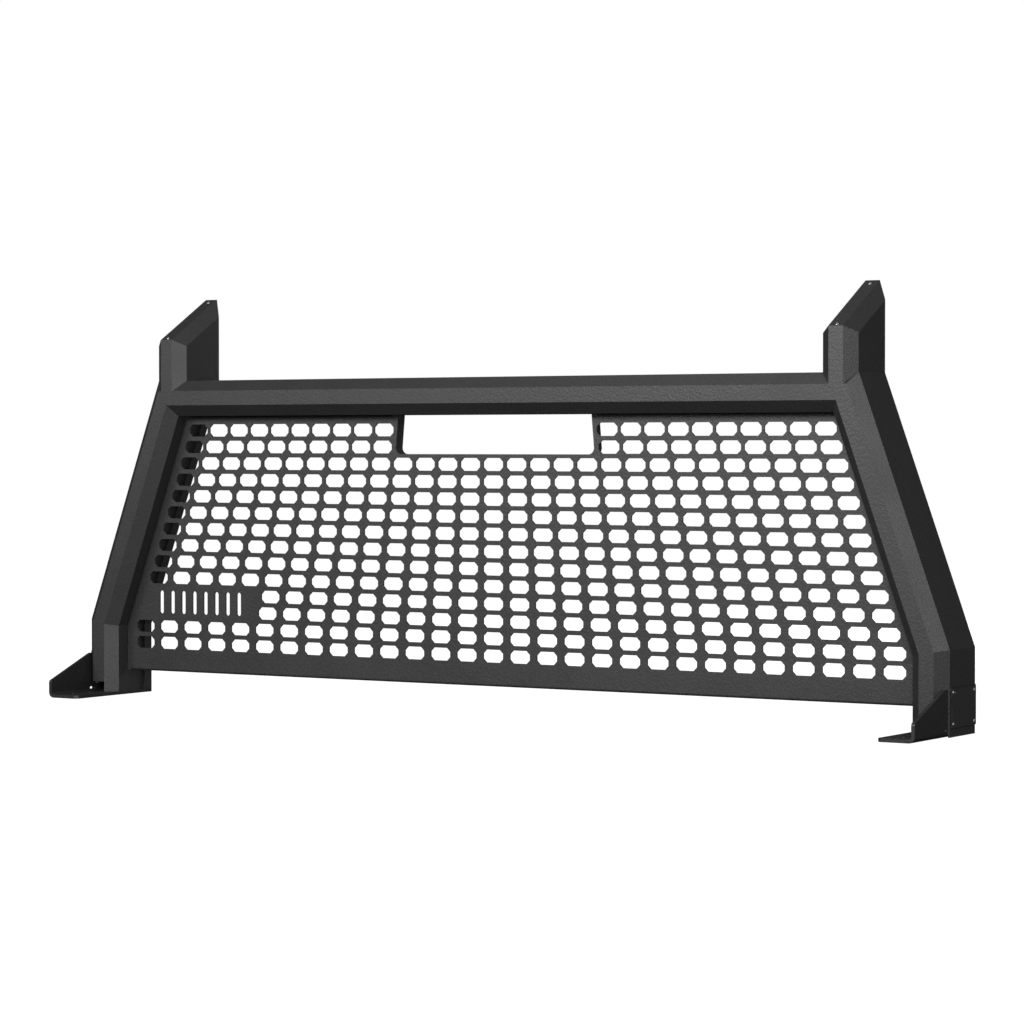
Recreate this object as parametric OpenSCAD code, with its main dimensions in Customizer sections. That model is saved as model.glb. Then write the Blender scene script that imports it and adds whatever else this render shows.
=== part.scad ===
// Headache rack for a pick-up bed: two bent side towers of eight-sided steel tube, a crossbar of
// the same tube, one perforated sheet between them and a plate foot bracket in each tower.
// +X is across the truck, +Y points to the cab, -Y to the tailgate, +Z is up.
// The origin is on the bed rail plane, under the middle of the rack's bounding box.

/* [Tube section] */
// Width of the tube across the truck
tube_w = 63.5; // [58:0.5:70]
// Depth of the tube along the truck
tube_d = 133.5; // [125:0.5:145]
// Edge length that each 45 degree chamfer takes off the two faces
tube_chamfer = 19; // [16:0.5:22]
// Wall thickness of the tube
wall = 2; // [1.6:0.1:2.6]
// Width of the shallow recess in the tube's inward face
recess_w = 51; // [44:1:54]
// Depth of that recess
recess_deep = 3.2; // [3.1:0.1:4]

/* [Towers] */
// Distance between the centres of the two upper posts
upper_spacing = 1339; // [1300:1:1380]
// Distance between the centres of the two lower posts
lower_spacing = 1655; // [1620:1:1690]
// Height of the crossbar's centre above the bed rails
bar_z = 540; // [520:1:560]
// Height of the outer edge of the bend between lower post and leg
bend_z = 137; // [125:1:150]
// Height of the upper post's top at its tailgate edge
post_top_z = 645; // [625:1:665]
// Slope of the top cap, rising towards the cab
cap_slope = 30; // [20:1:35]
// Sheet thickness of the top cap
cap_sheet = 2; // [1.5:0.5:3]

/* [Panel] */
// Sheet thickness of the panel
panel_sheet = 3; // [2:0.5:3]
// Height of the panel's bottom edge above the bed rails
panel_bottom_z = 44.3; // [42:0.1:60]
// Depth of the return flanges, measured from the panel's front face
panel_flange = 25; // [18:1:30]
// Length of a hole
hole_w = 40; // [34:0.5:41]
// Height of a hole
hole_h = 22; // [16:0.5:23]
// Corner cut of a hole
hole_corner = 6.5; // [4:0.5:8]
// Number of hole rows
hole_rows = 14; // [14:1:14]
// Vertical distance between rows
row_pitch = 29.7; // [28:0.1:29.7]
// Height of the top row's centre
top_row_z = 482.3; // [478:0.1:484]
// Number of holes on each side of the centre column
side_columns = 14; // [14:1:14]
// Half width of the brake light window at its top
window_half_top = 194; // [185:1:196]
// Half width of the brake light window at its bottom
window_half_bottom = 199.8; // [190:0.1:201]
// Height of the window's bottom edge
window_bottom_z = 440.4; // [439:0.1:442]
// Number of plain upright slots in the blank field
vent_slots = 8; // [4:1:9]

/* [Foot brackets] */
// Plate thickness of the foot bracket
foot_plate = 6; // [5:0.5:7]
// Reach of the foot bracket towards the tailgate, from the tube's centre
foot_front = 171; // [150:1:185]
// Height of the bracket's upright at the tower
foot_height = 75; // [70:1:80]
// Height of the upright's rounded nose
foot_nose = 32; // [24:1:36]
// Width of the bracket's foot
foot_w = 64.2; // [62:0.1:66]
// Diameter of the two bed rail bolt holes in each foot
rail_hole_d = 11; // [9:0.5:13]
// Distance between those two holes
rail_hole_spacing = 50; // [40:1:55]
// Thickness of the side cover plate
cover_sheet = 1.5; // [1.5:0.5:4]

/* [Hidden] */

LEFT = -1;
RIGHT = 1;
$fn = 48;
far = 400;
gap = 0.2;

half_w = tube_w / 2;
half_d = tube_d / 2;
upper_x = upper_spacing / 2;
lower_x = lower_spacing / 2;
bar_top = bar_z + half_w;
bar_bottom = bar_z - half_w;

// The leg's outer face runs from the crossbar's top to the lower bend.
leg_angle = atan((lower_x - upper_x) / (bar_top - bend_z));
mitre_rise = tan(leg_angle / 2);
bend_centre_z = bend_z - half_w * mitre_rise;
leg_length = (bar_top - bend_z) / cos(leg_angle);

// The recess starts at the panel's front face and is open towards the middle of the rack.
recess_y0 = -23.5;
panel_y0 = recess_y0 + 0.5;

// Length by which the crossbar is left longer than the posts' spacing before its ends are coped
bar_allowance = 22;

// The rack's box is centred on the origin.
foot_overhang = 2.5;
foot_rear = half_d + foot_overhang;
frame_shift_y = (foot_front - foot_rear) / 2;

black_coat = [0.13, 0.13, 0.135];
panel_coat = [0.15, 0.15, 0.155];
foot_coat = [0.12, 0.12, 0.125];
black_zinc = [0.09, 0.09, 0.095];
clear_zinc = [0.72, 0.72, 0.7];
rubber = [0.05, 0.05, 0.05];

// Screw sizes: M4 button heads on the covers and caps, M6 on the panel. The hexagon socket's
// radius and floor are shares of the head's radius and height.
socket_share = 0.42;
socket_floor = 0.45;
m4_r = 2;
m4_head_r = 3.8;
m4_head_h = 2.2;
nut_flat = 7;
nut_h = 3.2;
m6_r = 3;
m6_head_r = 5.25;
m6_head_h = 3.3;
panel_screw_length = 16;
rivet_nut_r = 4.5;
rivet_nut_length = 14;

cap_screw_front = 6;
cap_screw_rear = 11;
strap_w = 18;
strap_t = 4;
cap_screw_length = 10;

gasket_t = 1.5;
gasket_edge = 2.5;
cover_half_depth = 45;
cover_z0 = 15;
cover_z1 = 76;
cover_screw_y = 39.5;
cover_screw_z = [20.5, 70];

notch_top_z = 24;
foot_bend_r = 10;
foot_upright_rear = 45;
foot_corner = 6;
foot_rear_corner = 25;
relief_r = 2.25;
relief_y = [-60.5, -50];
relief_z = 11.2;
foot_outer_x = lower_x + half_w - wall;
rail_hole_y = -119;
nose_r = 5;
slope_end_y = -60;

flange_bend_r = panel_sheet + 1.5;
// Length of the unbent tabs at the ends of the panel's flanges, and the room beside a corner
tab_w = 12;
corner_room = 8;
panel_screw_y = panel_y0 + 14;
side_screw_at = [90, 210, 330];
lower_screw_z = 86;
top_screw_x = [270, 430, 590];

// The outer columns stand this share of a column's pitch inside the towers' faces.
edge_share = 0.8;
blank_columns_from = -10;
blank_rows = [10, 11];
window_rows = [0, 1];
window_columns = 4;
window_corner_r = 11;
window_rim_depth = 21;
vent_w = 9;
vent_h = 42;
vent_pitch = 25;
vent_x = -628;

// Clearances around screws, rivet nuts and threads
screw_play = 0.25;
thread_play = 0.05;
drill = 30;

// Everything is drawn about the tube's own centre line, then moved into the rack's frame.
module in_frame() {
  translate([0, frame_shift_y, 0]) children();
}

// Right-hand parts are drawn as they are, left-hand ones mirrored.
module on_side(side) {
  in_frame() mirror([side < 0 ? 1 : 0, 0, 0]) children();
}

module both_sides() {
  for (side = [LEFT, RIGHT]) mirror([side < 0 ? 1 : 0, 0, 0]) children();
}

// A rectangle of half sizes a and b with its corners cut off at 45 degrees
module eight_sided(a, b, cut) {
  polygon([
    [-a, -b + cut], [-a + cut, -b], [a - cut, -b], [a, -b + cut],
    [a, b - cut], [a - cut, b], [-a + cut, b], [-a, b - cut]
  ]);
}

// The tube's outline, x across the tube and y along its depth, moved inward by inset.
module tube_octagon(inset) {
  eight_sided(half_w - inset, half_d - inset, tube_chamfer - inset * (2 - sqrt(2)));
}

// The same with the recess in its -x face
module tube_outline(inset) {
  difference() {
    tube_octagon(inset);
    translate([-half_w - 1, recess_y0 - inset]) square([recess_deep + inset + 1, recess_w + 2 * inset]);
  }
}

module tube_ring() {
  difference() {
    tube_outline(0);
    tube_outline(wall);
  }
}

// The crossbar's and the upper posts' tube is plain, because no panel enters it.
module plain_ring() {
  difference() {
    tube_octagon(0);
    tube_octagon(wall);
  }
}

// A prism along X from a profile given in Y and Z.
module along_x(length) {
  rotate([90, 0, 90]) linear_extrude(length, center = true) children();
}

// Everything below the crossbar's top face and its two upper chamfers.
module below_bar_top() {
  margin = 20;
  y = half_d + margin;
  z = bar_top - tube_chamfer - margin;
  flat = half_d - tube_chamfer;
  translate([upper_x, 0, 0]) along_x(far)
    polygon([[-y, -margin], [y, -margin], [y, z], [flat, bar_top], [-flat, bar_top], [-y, z]]);
}

// The leg's own frame: its centre line is +Z, starting at the lower bend.
module leg_frame() {
  translate([lower_x, 0, bend_centre_z]) rotate([0, -leg_angle, 0]) children();
}

module leg_prism() {
  leg_frame() translate([0, 0, -far / 4]) linear_extrude(leg_length + far / 2) children();
}

// Everything outboard of the leg's inward face and of the two chamfers beside it
module outboard_of_leg_face() {
  margin = 5;
  a = half_w - tube_chamfer - margin;
  b = half_d + margin;
  leg_prism() polygon([
    [-half_w, -half_d + tube_chamfer], [-a, -b], [far, -b],
    [far, b], [-a, b], [-half_w, half_d - tube_chamfer]
  ]);
}

// Everything above the mitre plane of the lower bend.
module above_mitre() {
  translate([lower_x, 0, bend_centre_z]) rotate([0, -leg_angle / 2, 0])
    translate([-far, -far, 0]) cube([2 * far, 2 * far, 2 * far]);
}

// The cap's own frame: origin at the post top's tailgate edge, +Y up the slope.
module cap_frame() {
  translate([upper_x, -half_d, post_top_z]) rotate([cap_slope, 0, 0]) children();
}

// A tube-wide octagonal prism that lies along the slope, with its narrow face as the post's top.
module sloped_prism(inset) {
  cap_frame() translate([0, 0, -half_d]) rotate([-90, 0, 0])
    translate([0, 0, -far / 2]) linear_extrude(far) tube_octagon(inset);
}

module post_prism(inset) {
  translate([upper_x, 0, bar_z]) linear_extrude(far) tube_octagon(inset);
}

// The sheet that wraps over the post's top: a sloping strip and the bevels beside it.
module cap_shell() {
  intersection() {
    post_prism(0);
    difference() {
      sloped_prism(0);
      sloped_prism(cap_sheet);
    }
    cap_frame() translate([-far / 2, -far / 2, -tube_chamfer]) cube([far, far, far]);
  }
}

// Places children at both cap screws, +Z out of the strip.
module at_cap_screws() {
  strip_length = tube_d / cos(cap_slope);
  for (y = [cap_screw_front, strip_length - cap_screw_rear])
    cap_frame() translate([0, y, 0]) children();
}

// Button head screw with its head on z = 0. The dome is a ball's cap of the head's radius and height.
module button_screw(r, head_r, head_h, length) {
  ball_r = (head_r * head_r + head_h * head_h) / (2 * head_h);
  socket_r = head_r * socket_share;
  difference() {
    union() {
      intersection() {
        translate([0, 0, head_h - ball_r]) sphere(ball_r);
        cylinder(h = head_h, r = head_r);
      }
      translate([0, 0, -length]) cylinder(h = length, r = r);
    }
    translate([0, 0, head_h * socket_floor]) cylinder(h = head_h, r = socket_r, $fn = 6);
  }
}

module crossbar() {
  color(black_coat) in_frame() difference() {
    translate([0, 0, bar_z]) rotate([0, -90, 0])
      linear_extrude(upper_spacing + bar_allowance, center = true) plain_ring();
    both_sides() outboard_of_leg_face();
    at_top_screws() cylinder(h = drill, r = rivet_nut_r + thread_play, center = true);
  }
}

// The tube's side walls end where the cap's bevels start, its narrow walls inside the cap.
module upper_post(side) {
  color(black_coat) on_side(side) difference() {
    intersection() {
      translate([upper_x, 0, bar_z]) linear_extrude(far) plain_ring();
      union() {
        sloped_prism(cap_sheet);
        cap_frame() translate([-far / 2, -far / 2, -tube_chamfer - far]) cube([far, far, far]);
      }
    }
    below_bar_top();
  }
}

module slanted_leg(side) {
  color(black_coat) on_side(side) difference() {
    intersection() {
      leg_prism() tube_ring();
      above_mitre();
      below_bar_top();
    }
    at_leg_screws() cylinder(h = drill, r = rivet_nut_r + thread_play, center = true);
  }
}

module lower_post(side) {
  color(black_coat) on_side(side) difference() {
    translate([lower_x, 0, 0]) linear_extrude(bend_z + 20) tube_ring();
    above_mitre();
    // The foot plate passes under every wall but the outer one.
    translate([lower_x - half_w - 1, -half_d - 1, -1])
      cube([tube_w + 1 - wall, tube_d + 2, foot_plate + 1]);
    // Notch in the narrow front face, and the slot in the chamfer that the bracket passes through
    translate([lower_x - half_w + tube_chamfer, -half_d - 1, 0])
      cube([tube_w - tube_chamfer - wall - foot_plate, tube_chamfer, notch_top_z]);
    translate([foot_outer_x, 0, 0]) rotate([90, 0, 0]) linear_extrude(half_d + 1) foot_section();
    at_cover_screws() cylinder(h = drill, r = m4_r + screw_play, center = true);
    at_lower_screw() cylinder(h = drill, r = rivet_nut_r + thread_play, center = true);
  }
}

module top_cap(side) {
  color(black_coat) on_side(side) difference() {
    cap_shell();
    at_cap_screws() cylinder(h = drill, r = m4_r + screw_play, center = true);
  }
}

// Flat bar welded between the post's front and rear walls, tapped for the cap screws
module cap_strap(side) {
  color(black_coat) on_side(side) difference() {
    intersection() {
      cap_frame() translate([-strap_w / 2, -far / 2, -cap_sheet - strap_t])
        cube([strap_w, far, strap_t]);
      post_prism(wall);
    }
    at_cap_screws() cylinder(h = drill, r = m4_r + thread_play, center = true);
  }
}

module cap_screws(side) {
  color(black_zinc) on_side(side) at_cap_screws()
    button_screw(m4_r, m4_head_r, m4_head_h, cap_screw_length);
}

// The panel's edge, half width at height z, where it sits in the towers' recess
function tower_face_x(z) =
  let (turn_z = bend_centre_z - half_w * mitre_rise)
  z < turn_z ? lower_x - half_w : lower_x - half_w - (z - turn_z) * tan(leg_angle);

edge_offset = -half_w + recess_deep - gap;
panel_low_x = lower_x + edge_offset;
panel_turn_z = bend_centre_z + edge_offset * mitre_rise;
panel_top_z = bar_bottom - gap;
tab_top_z = bar_bottom - 0.5;
panel_top_x = panel_low_x - (tab_top_z - panel_turn_z) * tan(leg_angle);

// The window is open at the top, so its outline runs past the panel's edge. Its sides lean, and
// meet the round corners at a tangent.
window_top_z = bar_bottom + 10;
window_corner_x = window_half_bottom - window_corner_r;
window_corner_z = window_bottom_z + window_corner_r;
window_lean = atan((window_half_bottom - window_half_top) / (window_top_z - window_corner_z));

// True where the pattern leaves a hole out: at the window and in the blank field
function is_blank(row, column) =
  (len(search(row, window_rows)) > 0 && abs(column) <= window_columns) ||
  (len(search(row, blank_rows)) > 0 && column <= blank_columns_from);

module hole_pattern() {
  for (row = [0 : hole_rows - 1]) {
    z = top_row_z - row * row_pitch;
    pitch = tower_face_x(z) / (side_columns + edge_share);
    for (column = [-side_columns : side_columns])
      if (!is_blank(row, column))
        translate([column * pitch, z]) eight_sided(hole_w / 2, hole_h / 2, hole_corner);
  }
}

// Plain upright slots with round ends fill the blank field.
module vent_pattern() {
  z = top_row_z - (blank_rows[0] + blank_rows[1]) / 2 * row_pitch;
  straight = vent_h - vent_w;
  for (i = [0 : vent_slots - 1])
    translate([vent_x + (i - (vent_slots - 1) / 2) * vent_pitch, z]) {
      square([vent_w, straight], center = true);
      for (end = [-1, 1]) translate([0, end * straight / 2]) circle(vent_w / 2, $fn = 24);
    }
}

// The window's outline, moved outward by grow
module window_outline(grow) {
  r = window_corner_r + grow;
  side_x = window_corner_x + r * cos(window_lean);
  side_z = window_corner_z + r * sin(window_lean);
  top_x = side_x - (window_top_z - side_z) * tan(window_lean);
  polygon([
    [-window_corner_x, window_corner_z - r], [window_corner_x, window_corner_z - r],
    [window_corner_x, window_corner_z], [side_x, side_z],
    [top_x, window_top_z], [-top_x, window_top_z],
    [-side_x, side_z], [-window_corner_x, window_corner_z]
  ]);
  for (side = [LEFT, RIGHT]) translate([side * window_corner_x, window_corner_z]) circle(r);
}

// Rim round the window's sides and bottom
module window_rim() {
  translate([0, panel_y0 + window_rim_depth, 0]) rotate([90, 0, 0])
    linear_extrude(window_rim_depth) intersection() {
      difference() {
        window_outline(panel_sheet);
        window_outline(0);
      }
      translate([-far, 0]) square([2 * far, tab_top_z]);
    }
}

// Section of a return flange: +x is towards the sheet's edge at 0, +y is backward.
module flange_section() {
  r = flange_bend_r;
  translate([-r - 1, 0]) square([1.01, panel_sheet]);
  intersection() {
    translate([-r, r]) difference() {
      circle(r);
      circle(r - panel_sheet);
    }
    translate([-r, 0]) square([r, r]);
  }
  translate([-panel_sheet, r - 0.01]) square([panel_sheet, panel_flange - r + 0.01]);
}

// A flange along +Z of the current frame with its outer face on x = 0
module flange(length) {
  translate([0, panel_y0, 0]) linear_extrude(length) flange_section();
}

// Room that a flange's bend takes out of the flat sheet
module flange_room(length) {
  translate([-flange_bend_r, panel_y0 - 1, 0]) cube([flange_bend_r + 5, panel_sheet + 2, length]);
}

// Frames of the flanges, each drawn for the right-hand half of the panel
module lower_edge_frame() {
  translate([panel_low_x, 0, panel_bottom_z + tab_w]) children();
}

module slanted_edge_frame() {
  leg_frame() translate([edge_offset, 0, edge_offset * mitre_rise + corner_room]) children();
}

module top_edge_frame() {
  translate([panel_top_x - tab_w, 0, panel_top_z]) rotate([0, -90, 0]) children();
}

module bottom_edge_frame() {
  translate([0, 0, panel_bottom_z]) rotate([0, 90, 0]) children();
}

lower_flange_length = panel_turn_z - panel_bottom_z - tab_w - corner_room;
slanted_flange_length = (tab_top_z - panel_turn_z) / cos(leg_angle) - corner_room - tab_w;
top_flange_length = panel_top_x - tab_w - window_half_top - tab_w;
bottom_flange_length = panel_low_x - tab_w;

module flange_or_room(length, room) {
  if (room) flange_room(length);
  else flange(length);
}

module every_flange(room) {
  both_sides() {
    lower_edge_frame() flange_or_room(lower_flange_length, room);
    slanted_edge_frame() flange_or_room(slanted_flange_length, room);
    top_edge_frame() flange_or_room(top_flange_length, room);
    bottom_edge_frame() flange_or_room(bottom_flange_length, room);
  }
}

// Outline of the flat sheet. Between the tabs its top is bent back under the crossbar.
module panel_outline() {
  polygon([
    [-panel_low_x, panel_bottom_z], [panel_low_x, panel_bottom_z], [panel_low_x, panel_turn_z],
    [panel_top_x, tab_top_z], [-panel_top_x, tab_top_z], [-panel_low_x, panel_turn_z]
  ]);
}

module panel_sheet_flat() {
  difference() {
    translate([0, panel_y0 + panel_sheet, 0]) rotate([90, 0, 0]) linear_extrude(panel_sheet)
      difference() {
        panel_outline();
        hole_pattern();
        vent_pattern();
        window_outline(panel_sheet / 2);
      }
    every_flange(true);
  }
}

// Places children at the panel's side screws in a leg, +Z towards the middle of the rack.
module at_leg_screws() {
  for (s = side_screw_at)
    leg_frame() translate([-half_w + recess_deep, panel_screw_y, s]) rotate([0, -90, 0]) children();
}

module at_lower_screw() {
  translate([lower_x - half_w + recess_deep, panel_screw_y, lower_screw_z])
    rotate([0, -90, 0]) children();
}

module at_top_screws() {
  for (x = top_screw_x) for (side = [LEFT, RIGHT])
    translate([side * x, panel_screw_y, bar_bottom]) rotate([180, 0, 0]) children();
}

module perforated_panel() {
  color(panel_coat) in_frame() difference() {
    union() {
      panel_sheet_flat();
      every_flange(false);
      window_rim();
    }
    both_sides() {
      at_leg_screws() cylinder(h = drill, r = m6_r + screw_play, center = true);
      at_lower_screw() cylinder(h = drill, r = m6_r + screw_play, center = true);
    }
    at_top_screws() cylinder(h = drill, r = m6_r + screw_play, center = true);
  }
}

module panel_screw() {
  translate([0, 0, panel_sheet + gap]) button_screw(m6_r, m6_head_r, m6_head_h, panel_screw_length);
}

module panel_screws(side) {
  color(black_zinc) on_side(side) {
    at_leg_screws() panel_screw();
    at_lower_screw() panel_screw();
  }
}

module panel_screws_top() {
  color(black_zinc) in_frame() at_top_screws() panel_screw();
}

// Flush rivet nut: a sleeve from the recess floor into the tube
module rivet_nut() {
  translate([0, 0, -rivet_nut_length]) difference() {
    cylinder(h = rivet_nut_length, r = rivet_nut_r);
    translate([0, 0, -1]) cylinder(h = rivet_nut_length + 2, r = m6_r + thread_play);
  }
}

module rivet_nuts(side) {
  color(clear_zinc) on_side(side) {
    at_leg_screws() rivet_nut();
    at_lower_screw() rivet_nut();
  }
}

module rivet_nuts_top() {
  color(clear_zinc) in_frame() at_top_screws() rivet_nut();
}

// Section of the foot bracket: +x outboard with the upright's outer face on x = 0, +y up
module foot_section() {
  r = foot_bend_r;
  translate([-foot_w, 0]) square([foot_w - r, foot_plate]);
  translate([-foot_plate, r]) square([foot_plate, foot_height - r]);
  intersection() {
    translate([-r, r]) difference() {
      circle(r);
      circle(r - foot_plate);
    }
    translate([-r, 0]) square([r, r]);
  }
}

// Side view of what is cut off the bracket's upright: all above its slope and its rounded nose
module above_foot_slope() {
  nose = [-foot_front + nose_r, foot_nose - nose_r];
  run = slope_end_y - nose[0];
  rise = foot_height - nose[1];
  // The slope is the line from its upper end that touches the nose's round.
  slope = atan(rise / run) - asin(nose_r / norm([run, rise]));
  steps = 6;
  round_nose = [for (i = [0 : steps])
    let (a = 180 - (90 - slope) * i / steps) nose + nose_r * [cos(a), sin(a)]];
  polygon(concat(
    [[-foot_front - 1, nose[1]]],
    round_nose,
    [[slope_end_y, foot_height], [slope_end_y, foot_height + 1], [-foot_front - 1, foot_height + 1]]
  ));
}

// Bolt holes to the bed rail, one in front of the other
module at_rail_holes() {
  for (y = [-rail_hole_spacing / 2, rail_hole_spacing / 2])
    translate([foot_outer_x - foot_w / 2, rail_hole_y + y, 0]) children();
}

// Slot with round ends through the upright, beside the tower and close to the bend
module relief_slot() {
  for (y = relief_y) translate([foot_outer_x, y, relief_z]) rotate([0, 90, 0])
    cylinder(h = drill, r = relief_r, center = true);
  translate([foot_outer_x, (relief_y[0] + relief_y[1]) / 2, relief_z])
    cube([drill, relief_y[1] - relief_y[0], 2 * relief_r], center = true);
}

// Cuts a 45 degree corner of leg size off the foot's inboard edge, at its end at y.
module corner_cut(y, size) {
  translate([foot_outer_x - foot_w, y, 0]) rotate([0, 0, 45])
    cube([size * sqrt(2), size * sqrt(2), drill], center = true);
}

module foot_bracket(side) {
  color(foot_coat) on_side(side) difference() {
    union() {
      translate([foot_outer_x, foot_upright_rear, 0]) rotate([90, 0, 0])
        linear_extrude(foot_front + foot_upright_rear) foot_section();
      // Behind the upright only the flat of the foot goes on.
      translate([foot_outer_x - foot_w, foot_upright_rear, 0])
        cube([foot_w - foot_bend_r, foot_rear - foot_upright_rear, foot_plate]);
    }
    translate([foot_outer_x, 0, 0]) along_x(3 * foot_bend_r) above_foot_slope();
    // The foot's inboard corners are cut off, the rear one flush with the tube's chamfer.
    corner_cut(-foot_front, foot_corner);
    corner_cut(foot_rear, foot_rear_corner);
    relief_slot();
    at_rail_holes() cylinder(h = drill, r = rail_hole_d / 2, center = true);
    at_cover_screws() cylinder(h = drill, r = m4_r + screw_play, center = true);
  }
}

// Places children at the four cover screws, on the tower's outer face with +Z outward.
module at_cover_screws() {
  for (y = [-cover_screw_y, cover_screw_y]) for (z = cover_screw_z)
    translate([lower_x + half_w, y, z]) rotate([0, 90, 0]) children();
}

// Rubber gasket under the cover, showing a little at its front, rear and top
module cover_gasket(side) {
  color(rubber) on_side(side) difference() {
    translate([lower_x + half_w, -cover_half_depth - gasket_edge, cover_z0])
      cube([gasket_t, 2 * (cover_half_depth + gasket_edge), cover_z1 + gasket_edge - cover_z0]);
    at_cover_screws() cylinder(h = drill, r = m4_r + screw_play, center = true);
  }
}

module side_cover(side) {
  color(black_coat) on_side(side) difference() {
    translate([lower_x + half_w + gasket_t, -cover_half_depth, cover_z0])
      cube([cover_sheet, 2 * cover_half_depth, cover_z1 - cover_z0]);
    at_cover_screws() cylinder(h = drill, r = m4_r + screw_play, center = true);
  }
}

module cover_screws(side) {
  length = cover_sheet + gasket_t + wall + foot_plate + nut_h + 1.8;
  color(black_zinc) on_side(side) at_cover_screws()
    translate([0, 0, gasket_t + cover_sheet]) button_screw(m4_r, m4_head_r, m4_head_h, length);
}

// Hexagon nuts on the inside of the bracket's upright
module cover_nuts(side) {
  color(clear_zinc) on_side(side) at_cover_screws()
    translate([0, 0, -wall - foot_plate - nut_h]) difference() {
      cylinder(h = nut_h, r = nut_flat / sqrt(3), $fn = 6);
      translate([0, 0, -1]) cylinder(h = nut_h + 2, r = m4_r + thread_play);
    }
}

crossbar();
upper_post(LEFT);  // upper_post_left
upper_post(RIGHT);  // upper_post_right
slanted_leg(LEFT);  // slanted_leg_left
slanted_leg(RIGHT);  // slanted_leg_right
lower_post(LEFT);  // lower_post_left
lower_post(RIGHT);  // lower_post_right
top_cap(LEFT);  // top_cap_left
top_cap(RIGHT);  // top_cap_right
cap_strap(LEFT);  // cap_strap_left
cap_strap(RIGHT);  // cap_strap_right
cap_screws(LEFT);  // cap_screws_left
cap_screws(RIGHT);  // cap_screws_right
perforated_panel();
panel_screws(LEFT);  // panel_screws_left
panel_screws(RIGHT);  // panel_screws_right
panel_screws_top();
rivet_nuts(LEFT);  // rivet_nuts_left
rivet_nuts(RIGHT);  // rivet_nuts_right
rivet_nuts_top();
foot_bracket(LEFT);  // foot_bracket_left
foot_bracket(RIGHT);  // foot_bracket_right
cover_gasket(LEFT);  // cover_gasket_left
cover_gasket(RIGHT);  // cover_gasket_right
side_cover(LEFT);  // side_cover_left
side_cover(RIGHT);  // side_cover_right
cover_screws(LEFT);  // cover_screws_left
cover_screws(RIGHT);  // cover_screws_right
cover_nuts(LEFT);  // cover_nuts_left
cover_nuts(RIGHT);  // cover_nuts_right
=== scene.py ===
"""Looks for the headache rack: finished copies of the CAD pieces, their coatings, a studio and a camera.

Metres, in the CAD frame: +X across the truck, +Y towards the cab, +Z up, feet on z = 0.
"""

import math

import bmesh
import bpy
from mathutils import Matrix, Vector


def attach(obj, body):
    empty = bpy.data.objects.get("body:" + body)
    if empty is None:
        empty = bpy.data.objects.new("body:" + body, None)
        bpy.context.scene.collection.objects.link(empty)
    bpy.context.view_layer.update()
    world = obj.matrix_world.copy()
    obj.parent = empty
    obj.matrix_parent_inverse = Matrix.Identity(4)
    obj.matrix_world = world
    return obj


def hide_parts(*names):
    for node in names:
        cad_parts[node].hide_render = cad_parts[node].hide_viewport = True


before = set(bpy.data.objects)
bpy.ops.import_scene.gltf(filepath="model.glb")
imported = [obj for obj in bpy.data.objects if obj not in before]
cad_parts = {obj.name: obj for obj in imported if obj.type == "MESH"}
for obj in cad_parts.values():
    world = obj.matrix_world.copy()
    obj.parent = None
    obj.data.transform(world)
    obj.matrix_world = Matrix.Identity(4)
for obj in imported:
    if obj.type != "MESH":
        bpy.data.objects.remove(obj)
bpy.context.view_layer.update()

MM = 0.001
# Points this close are one point.
WELD_DISTANCE = 2e-6
# Neighbouring faces within this angle are one flat face.
FLAT_ANGLE = math.radians(0.5)
# Edges sharper than this are rounded.
SHARP_ANGLE = math.radians(28)
# Edges sharper than this after the rounding are shown as creases.
CREASE_ANGLE = math.radians(32)
# Two edges are parallel when the cosine of the angle between them is above this.
PARALLEL = 0.9999

# The rounded edges: steps across each one, and the radii
EDGE_SEGMENTS = 2
TUBE_EDGE = 0.7 * MM
CAP_EDGE = 0.5 * MM
PLATE_EDGE = 0.4 * MM
BRACKET_EDGE = 0.8 * MM
PANEL_EDGE = 0.35 * MM
GASKET_EDGE = 0.1 * MM
FASTENER_EDGE = 0.2 * MM
SMALL_SCREW_EDGE = 0.15 * MM


# ---------------------------------------------------------------- materials

# The powder coat's second, finer noise is this share of the pebbles in size and in depth.
FINE_SIZE_SHARE = 0.45
FINE_DEPTH_SHARE = 0.5
# What the pebbles count for in the tone, where the finer noise counts for 1
PEBBLE_TONE_SHARE = 0.55
# Size of the clouds over which the coat's roughness changes, and by how much
CLOUD_SIZE = 0.11
GLOSS_CHANGE = 0.035
# Plated steel: size of its mottles, how far they change its roughness, and depth of its texture
MOTTLE_SIZE = 0.0016
STEEL_SHINIER = 0.04
STEEL_DULLER = 0.05
TUMBLED_DEPTH = 0.00001
# Places of the colour sockets on a Mix node
COLOUR_A = 6
COLOUR_B = 7
COLOUR_RESULT = 2


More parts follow.
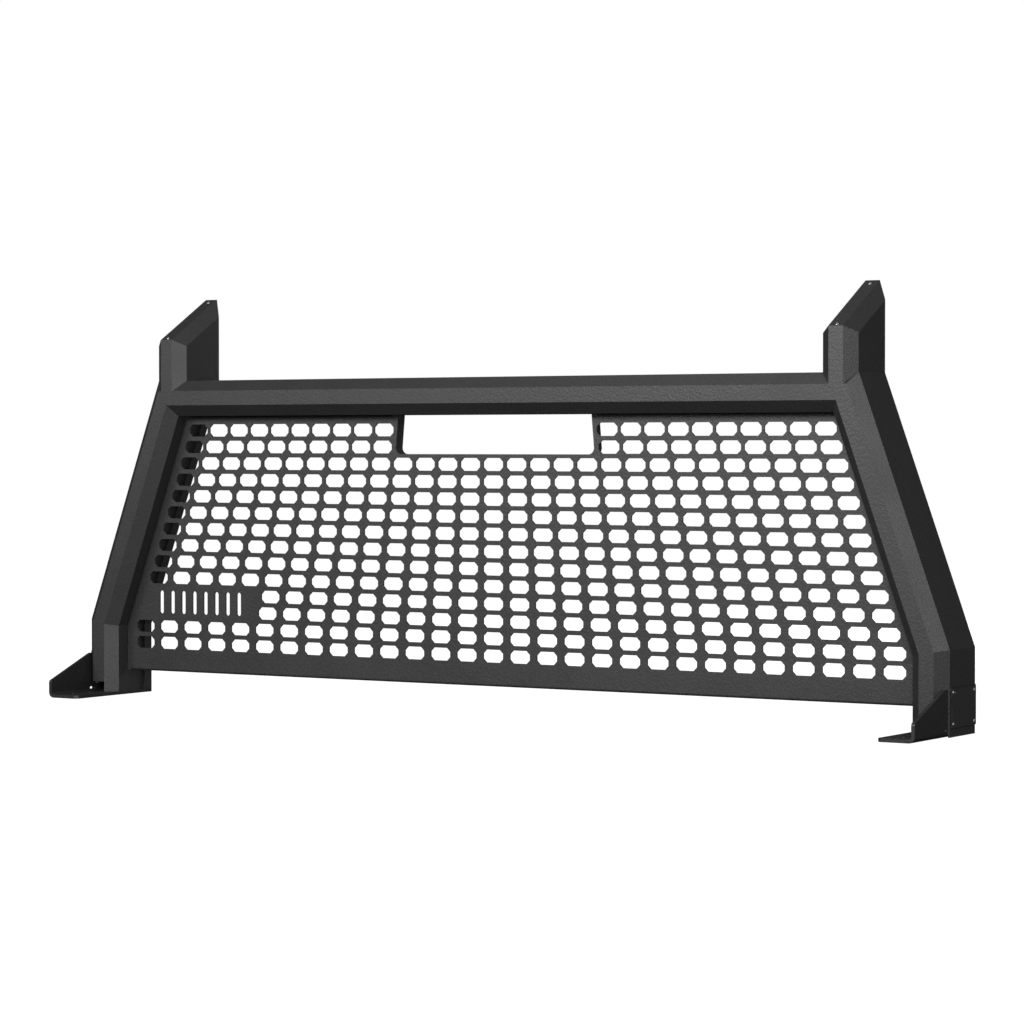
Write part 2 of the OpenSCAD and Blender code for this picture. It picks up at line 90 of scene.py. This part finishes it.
class Nodes:
    """Short calls for building one material's node tree."""

    def __init__(self, name):
        self.material = bpy.data.materials.new(name)
        self.material.use_nodes = True
        self.tree = self.material.node_tree
        self.shader = self.tree.nodes["Principled BSDF"]
        coordinates = self.tree.nodes.new("ShaderNodeTexCoord")
        self.place = coordinates.outputs["Object"]

    def add(self, kind, **settings):
        node = self.tree.nodes.new("ShaderNode" + kind)
        for key, value in settings.items():
            if hasattr(node, key):
                setattr(node, key, value)
            else:
                node.inputs[key].default_value = value
        return node

    def link(self, output, target):
        self.tree.links.new(output, target)

    def noise(self, size, detail=2.0, roughness=0.5):
        """Noise whose blobs are about size metres across."""
        node = self.add("TexNoise", Scale=1 / size, Detail=detail, Roughness=roughness)
        self.link(self.place, node.inputs["Vector"])
        return node.outputs["Fac"]

    def pebbles(self, size):
        """Rounded pebbles about size metres across, high in their middles."""
        node = self.add("TexVoronoi", feature="SMOOTH_F1", Scale=1 / size, Smoothness=0.6)
        self.link(self.place, node.inputs["Vector"])
        return self.spread(node.outputs["Distance"], 1.0, 0.0, start=0.0, end=0.7)

    def spread(self, value, low, high, start=0.35, end=0.65):
        """Maps a value from the range start to end, most of a noise's own, to the range low to high."""
        node = self.add("MapRange", clamp=True)
        node.inputs["From Min"].default_value = start
        node.inputs["From Max"].default_value = end
        node.inputs["To Min"].default_value = low
        node.inputs["To Max"].default_value = high
        self.link(value, node.inputs["Value"])
        return node.outputs["Result"]

    def blend_colours(self, value, dark, light):
        """The dark colour where the value is 0 and the light one where it is 1."""
        node = self.add("Mix", data_type="RGBA")
        self.link(value, node.inputs["Factor"])
        node.inputs[COLOUR_A].default_value = (*dark, 1)
        node.inputs[COLOUR_B].default_value = (*light, 1)
        return node.outputs[COLOUR_RESULT]

    def bump(self, height, distance, below=None):
        """A bumped normal from a height, on top of the bumps below it."""
        node = self.add("Bump", Distance=distance, Strength=1.0)
        self.link(height, node.inputs["Height"])
        if below is not None:
            self.link(below, node.inputs["Normal"])
        return node.outputs["Normal"]


def powder_coat(name, dark, light, grain, depth, rough):
    """Black powder coat with a fine wrinkle: pebbled, with lighter peaks and a slow change of gloss."""
    nodes = Nodes(name)
    pebbles = nodes.pebbles(grain)
    fine = nodes.noise(grain * FINE_SIZE_SHARE, detail=3.0, roughness=0.6)
    cloud = nodes.noise(CLOUD_SIZE, detail=3.0)
    speckle = nodes.add("Math", operation="MULTIPLY_ADD")
    nodes.link(pebbles, speckle.inputs[0])
    speckle.inputs[1].default_value = PEBBLE_TONE_SHARE
    nodes.link(fine, speckle.inputs[2])
    tone = nodes.spread(speckle.outputs[0], 0.0, 1.0, start=0.55, end=1.05)
    nodes.link(nodes.blend_colours(tone, dark, light), nodes.shader.inputs["Base Color"])
    gloss = nodes.spread(cloud, rough - GLOSS_CHANGE, rough + GLOSS_CHANGE)
    nodes.link(gloss, nodes.shader.inputs["Roughness"])
    coarse = nodes.bump(pebbles, depth)
    nodes.link(nodes.bump(fine, depth * FINE_DEPTH_SHARE, below=coarse), nodes.shader.inputs["Normal"])
    return nodes.material


def plated_steel(name, dark, light, rough, grain):
    """Plated fastener steel: fine mottling in colour and gloss and a faint tumbled texture."""
    nodes = Nodes(name)
    mottle = nodes.noise(MOTTLE_SIZE, detail=4.0)
    fine = nodes.noise(grain, detail=2.0)
    colour = nodes.blend_colours(nodes.spread(mottle, 0, 1), dark, light)
    nodes.link(colour, nodes.shader.inputs["Base Color"])
    gloss = nodes.spread(mottle, rough - STEEL_SHINIER, rough + STEEL_DULLER)
    nodes.link(gloss, nodes.shader.inputs["Roughness"])
    nodes.shader.inputs["Metallic"].default_value = 1.0
    nodes.link(nodes.bump(fine, TUMBLED_DEPTH), nodes.shader.inputs["Normal"])
    return nodes.material


TUBE_COAT = powder_coat(
    "tube_powder_coat",
    dark=(0.018, 0.018, 0.0184),
    light=(0.025, 0.025, 0.0256),
    grain=0.0040,
    depth=0.00014,
    rough=0.47,
)
PANEL_COAT = powder_coat(
    "panel_powder_coat",
    dark=(0.017, 0.017, 0.0174),
    light=(0.025, 0.025, 0.0256),
    grain=0.0040,
    depth=0.00014,
    rough=0.48,
)
BRACKET_COAT = powder_coat(
    "bracket_powder_coat",
    dark=(0.012, 0.012, 0.0124),
    light=(0.019, 0.019, 0.0194),
    grain=0.0036,
    depth=0.00011,
    rough=0.45,
)
# Painted shade: a near-black gasket whose colour stands in for the shadow gap round each side cover,
# drawn as a dark rim.
GAP_SHADE_BLACK = powder_coat(
    "gasket_painted_gap_shade",
    dark=(0.004, 0.004, 0.004),
    light=(0.009, 0.009, 0.009),
    grain=0.0015,
    depth=0.00003,
    rough=0.8,
)
BLACK_OXIDE = plated_steel(
    "black_screw_finish", dark=(0.24, 0.24, 0.245), light=(0.34, 0.34, 0.345), rough=0.25, grain=0.0005
)
CLEAR_ZINC = plated_steel(
    "zinc_finish", dark=(0.5, 0.5, 0.49), light=(0.66, 0.66, 0.64), rough=0.3, grain=0.0006
)


# ---------------------------------------------------------------- finished pieces


def finish_piece(name, bm, material, slot, *nodes):
    """Puts a mesh in the scene as a piece that stands for CAD nodes and rides on the rack."""
    mesh = bpy.data.meshes.new(name)
    bm.to_mesh(mesh)
    bm.free()
    mesh.materials.append(material)
    piece = bpy.data.objects.new(name, mesh)
    bpy.context.scene.collection.objects.link(piece)
    normals = piece.modifiers.new("normals", "WEIGHTED_NORMAL")
    normals.keep_sharp = True
    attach(piece, "root")
    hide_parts(*nodes)


def welded_mesh(node):
    """The CAD node's surface as a mesh whose doubled points are welded."""
    bm = bmesh.new()
    bm.from_mesh(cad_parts[node].data)
    bmesh.ops.remove_doubles(bm, verts=bm.verts, dist=WELD_DISTANCE)
    return bm


def merge_flats(bm):
    """Joins the triangles of each flat face into one face."""
    bmesh.ops.dissolve_limit(
        bm, angle_limit=FLAT_ANGLE, use_dissolve_boundaries=False, verts=bm.verts, edges=bm.edges
    )


def direction(edge):
    return (edge.verts[1].co - edge.verts[0].co).normalized()


def round_edges(bm, radius, lengthwise):
    """Rounds the sharp edges, as the coating does, and shades all but the creases left smooth.

    On a tube only the lengthwise edges are rounded, because its ends are welded flush to the next one.
    """
    sharp = [edge for edge in bm.edges if edge.is_manifold and edge.calc_face_angle() > SHARP_ANGLE]
    if lengthwise:
        axis = direction(max(bm.edges, key=lambda edge: edge.calc_length()))
        sharp = [edge for edge in sharp if abs(direction(edge).dot(axis)) > PARALLEL]
    bmesh.ops.bevel(
        bm,
        geom=sharp,
        offset=radius,
        offset_type="OFFSET",
        segments=EDGE_SEGMENTS,
        profile=0.5,
        affect="EDGES",
        clamp_overlap=True,
        harden_normals=False,
    )
    for face in bm.faces:
        face.smooth = True
    for edge in bm.edges:
        edge.smooth = edge.is_manifold and edge.calc_face_angle() < CREASE_ANGLE


def coated_copy(node, material, slot, radius, lengthwise=False):
    """Replaces a CAD node with a copy that has rounded edges and its own material."""
    bm = welded_mesh(node)
    merge_flats(bm)
    round_edges(bm, radius, lengthwise)
    finish_piece(node + "_finished", bm, material, slot, node)


for side in ("left", "right"):
    for node in ("upper_post_", "slanted_leg_", "lower_post_"):
        coated_copy(node + side, TUBE_COAT, "tube_coat", TUBE_EDGE, lengthwise=True)
    coated_copy("top_cap_" + side, TUBE_COAT, "tube_coat", CAP_EDGE)
    coated_copy("cap_strap_" + side, TUBE_COAT, "tube_coat", PLATE_EDGE)
    coated_copy("foot_bracket_" + side, BRACKET_COAT, "bracket_coat", BRACKET_EDGE)
    coated_copy("side_cover_" + side, TUBE_COAT, "tube_coat", PLATE_EDGE)
    # The gasket's near-black colour paints the shadow gap round the cover as a dark rim.
    coated_copy("cover_gasket_" + side, GAP_SHADE_BLACK, "rubber_gasket", GASKET_EDGE)
    coated_copy("cover_nuts_" + side, CLEAR_ZINC, "zinc_nuts", FASTENER_EDGE)
    coated_copy("rivet_nuts_" + side, CLEAR_ZINC, "zinc_nuts", FASTENER_EDGE)
    coated_copy("cap_screws_" + side, BLACK_OXIDE, "black_screws", SMALL_SCREW_EDGE)
    coated_copy("cover_screws_" + side, BLACK_OXIDE, "black_screws", SMALL_SCREW_EDGE)
    coated_copy("panel_screws_" + side, BLACK_OXIDE, "black_screws", FASTENER_EDGE)
coated_copy("crossbar", TUBE_COAT, "tube_coat", TUBE_EDGE, lengthwise=True)
coated_copy("panel_screws_top", BLACK_OXIDE, "black_screws", FASTENER_EDGE)
coated_copy("rivet_nuts_top", CLEAR_ZINC, "zinc_nuts", FASTENER_EDGE)
coated_copy("perforated_panel", PANEL_COAT, "panel_coat", PANEL_EDGE)


# ---------------------------------------------------------------- studio

LIGHT_DISTANCE = 3.2
LIGHT_SIZE = (1.2, 1.0)
AIM = Vector((0, 0, 0.35))
FLOOR_HALF = 60
FLOOR_CLOUD_SIZE = 0.4


def soft_light(name, azimuth, height, power, distance=LIGHT_DISTANCE, size=LIGHT_SIZE, shine=True):
    """An area light at an azimuth round the rack, aimed at it: 0 is in front of it and 90 on its right.

    A light without shine gives no reflections, only an even light.
    """
    lamp = bpy.data.lights.new(name, "AREA")
    lamp.shape = "RECTANGLE"
    lamp.size, lamp.size_y = size
    lamp.energy = power
    light = bpy.data.objects.new(name, lamp)
    angle = math.radians(azimuth)
    light.location = Vector((math.sin(angle) * distance, -math.cos(angle) * distance, height))
    light.rotation_euler = (AIM - light.location).to_track_quat("-Z", "Y").to_euler()
    light.visible_camera = False
    light.visible_glossy = shine
    bpy.context.scene.collection.objects.link(light)


def studio_world(seen, glow_right, glow_front, glow_above):
    """A white room to the camera, and to the rack a dim glow from the right, front and above."""
    world = bpy.data.worlds.new("studio")
    world.use_nodes = True
    tree = world.node_tree
    tree.nodes.clear()
    output = tree.nodes.new("ShaderNodeOutputWorld")
    shown = tree.nodes.new("ShaderNodeBackground")
    shown.inputs["Strength"].default_value = seen
    dome = tree.nodes.new("ShaderNodeBackground")
    place = tree.nodes.new("ShaderNodeTexCoord")
    split = tree.nodes.new("ShaderNodeSeparateXYZ")
    tree.links.new(place.outputs["Generated"], split.inputs[0])
    total = None
    for axis, end, strength in (("X", 1, glow_right), ("Y", -1, glow_front), ("Z", 1, glow_above)):
        slope = tree.nodes.new("ShaderNodeMapRange")
        slope.inputs["From Max"].default_value = end
        slope.inputs["To Max"].default_value = strength
        tree.links.new(split.outputs[axis], slope.inputs["Value"])
        glow = slope.outputs["Result"]
        if total is not None:
            both = tree.nodes.new("ShaderNodeMath")
            both.operation = "ADD"
            tree.links.new(total, both.inputs[0])
            tree.links.new(glow, both.inputs[1])
            glow = both.outputs[0]
        total = glow
    path = tree.nodes.new("ShaderNodeLightPath")
    mix = tree.nodes.new("ShaderNodeMixShader")
    tree.links.new(total, dome.inputs["Strength"])
    tree.links.new(path.outputs["Is Camera Ray"], mix.inputs[0])
    tree.links.new(dome.outputs[0], mix.inputs[1])
    tree.links.new(shown.outputs[0], mix.inputs[2])
    tree.links.new(mix.outputs[0], output.inputs["Surface"])
    for background in (shown, dome):
        background.inputs["Color"].default_value = (1, 1, 1, 1)
    bpy.context.scene.world = world


def pale_floor(half):
    """A floor that shows white to the camera and adds no light to the rack."""
    mesh = bpy.data.meshes.new("floor")
    corners = [(-half, -half, 0), (half, -half, 0), (half, half, 0), (-half, half, 0)]
    mesh.from_pydata(corners, [], [(0, 1, 2, 3)])
    floor = bpy.data.objects.new("floor", mesh)
    nodes = Nodes("pale_floor")
    cloud = nodes.noise(FLOOR_CLOUD_SIZE, detail=3.0)
    tone = nodes.blend_colours(cloud, (0.05, 0.05, 0.05), (0.07, 0.07, 0.07))
    nodes.link(tone, nodes.shader.inputs["Base Color"])
    nodes.shader.inputs["Roughness"].default_value = 0.9
    nodes.shader.inputs["Emission Color"].default_value = (1, 1, 1, 1)
    nodes.shader.inputs["Emission Strength"].default_value = 1.0
    mesh.materials.append(nodes.material)
    bpy.context.scene.collection.objects.link(floor)
    floor.visible_diffuse = False
    floor.visible_glossy = False


soft_light("left", -40, height=1.6, power=29)
soft_light("front", -10, height=1.6, power=81)
soft_light("camera_side", 40, height=0.4, power=43)
soft_light("right", 65, height=1.6, power=24)
soft_light("high_right", 90, height=3.0, power=8)
soft_light("top", 0, height=3.4, power=21, distance=0.3, size=(3.0, 1.6))
soft_light("back", 180, height=1.0, power=200, shine=False)
studio_world(seen=1.0, glow_right=0.13, glow_front=0.21, glow_above=0.085)
pale_floor(FLOOR_HALF)


# ---------------------------------------------------------------- camera

LENS_MM = 114.26
SENSOR_MM = 36
CAMERA_PLACE = (2.9754, -4.6364, 0.4560)
CAMERA_PITCH = math.radians(88.82)
CAMERA_TURN = math.radians(32.20)
CAMERA_REACH = 300

camera_data = bpy.data.cameras.new("camera")
camera_data.sensor_width = SENSOR_MM
camera_data.lens = LENS_MM
camera_data.clip_end = CAMERA_REACH
camera = bpy.data.objects.new("camera", camera_data)
camera.location = CAMERA_PLACE
camera.rotation_euler = (CAMERA_PITCH, 0, CAMERA_TURN)
bpy.context.scene.collection.objects.link(camera)
bpy.context.scene.camera = camera

bpy.context.scene.view_settings.view_transform = "Standard"
bpy.context.scene.view_settings.look = "None"
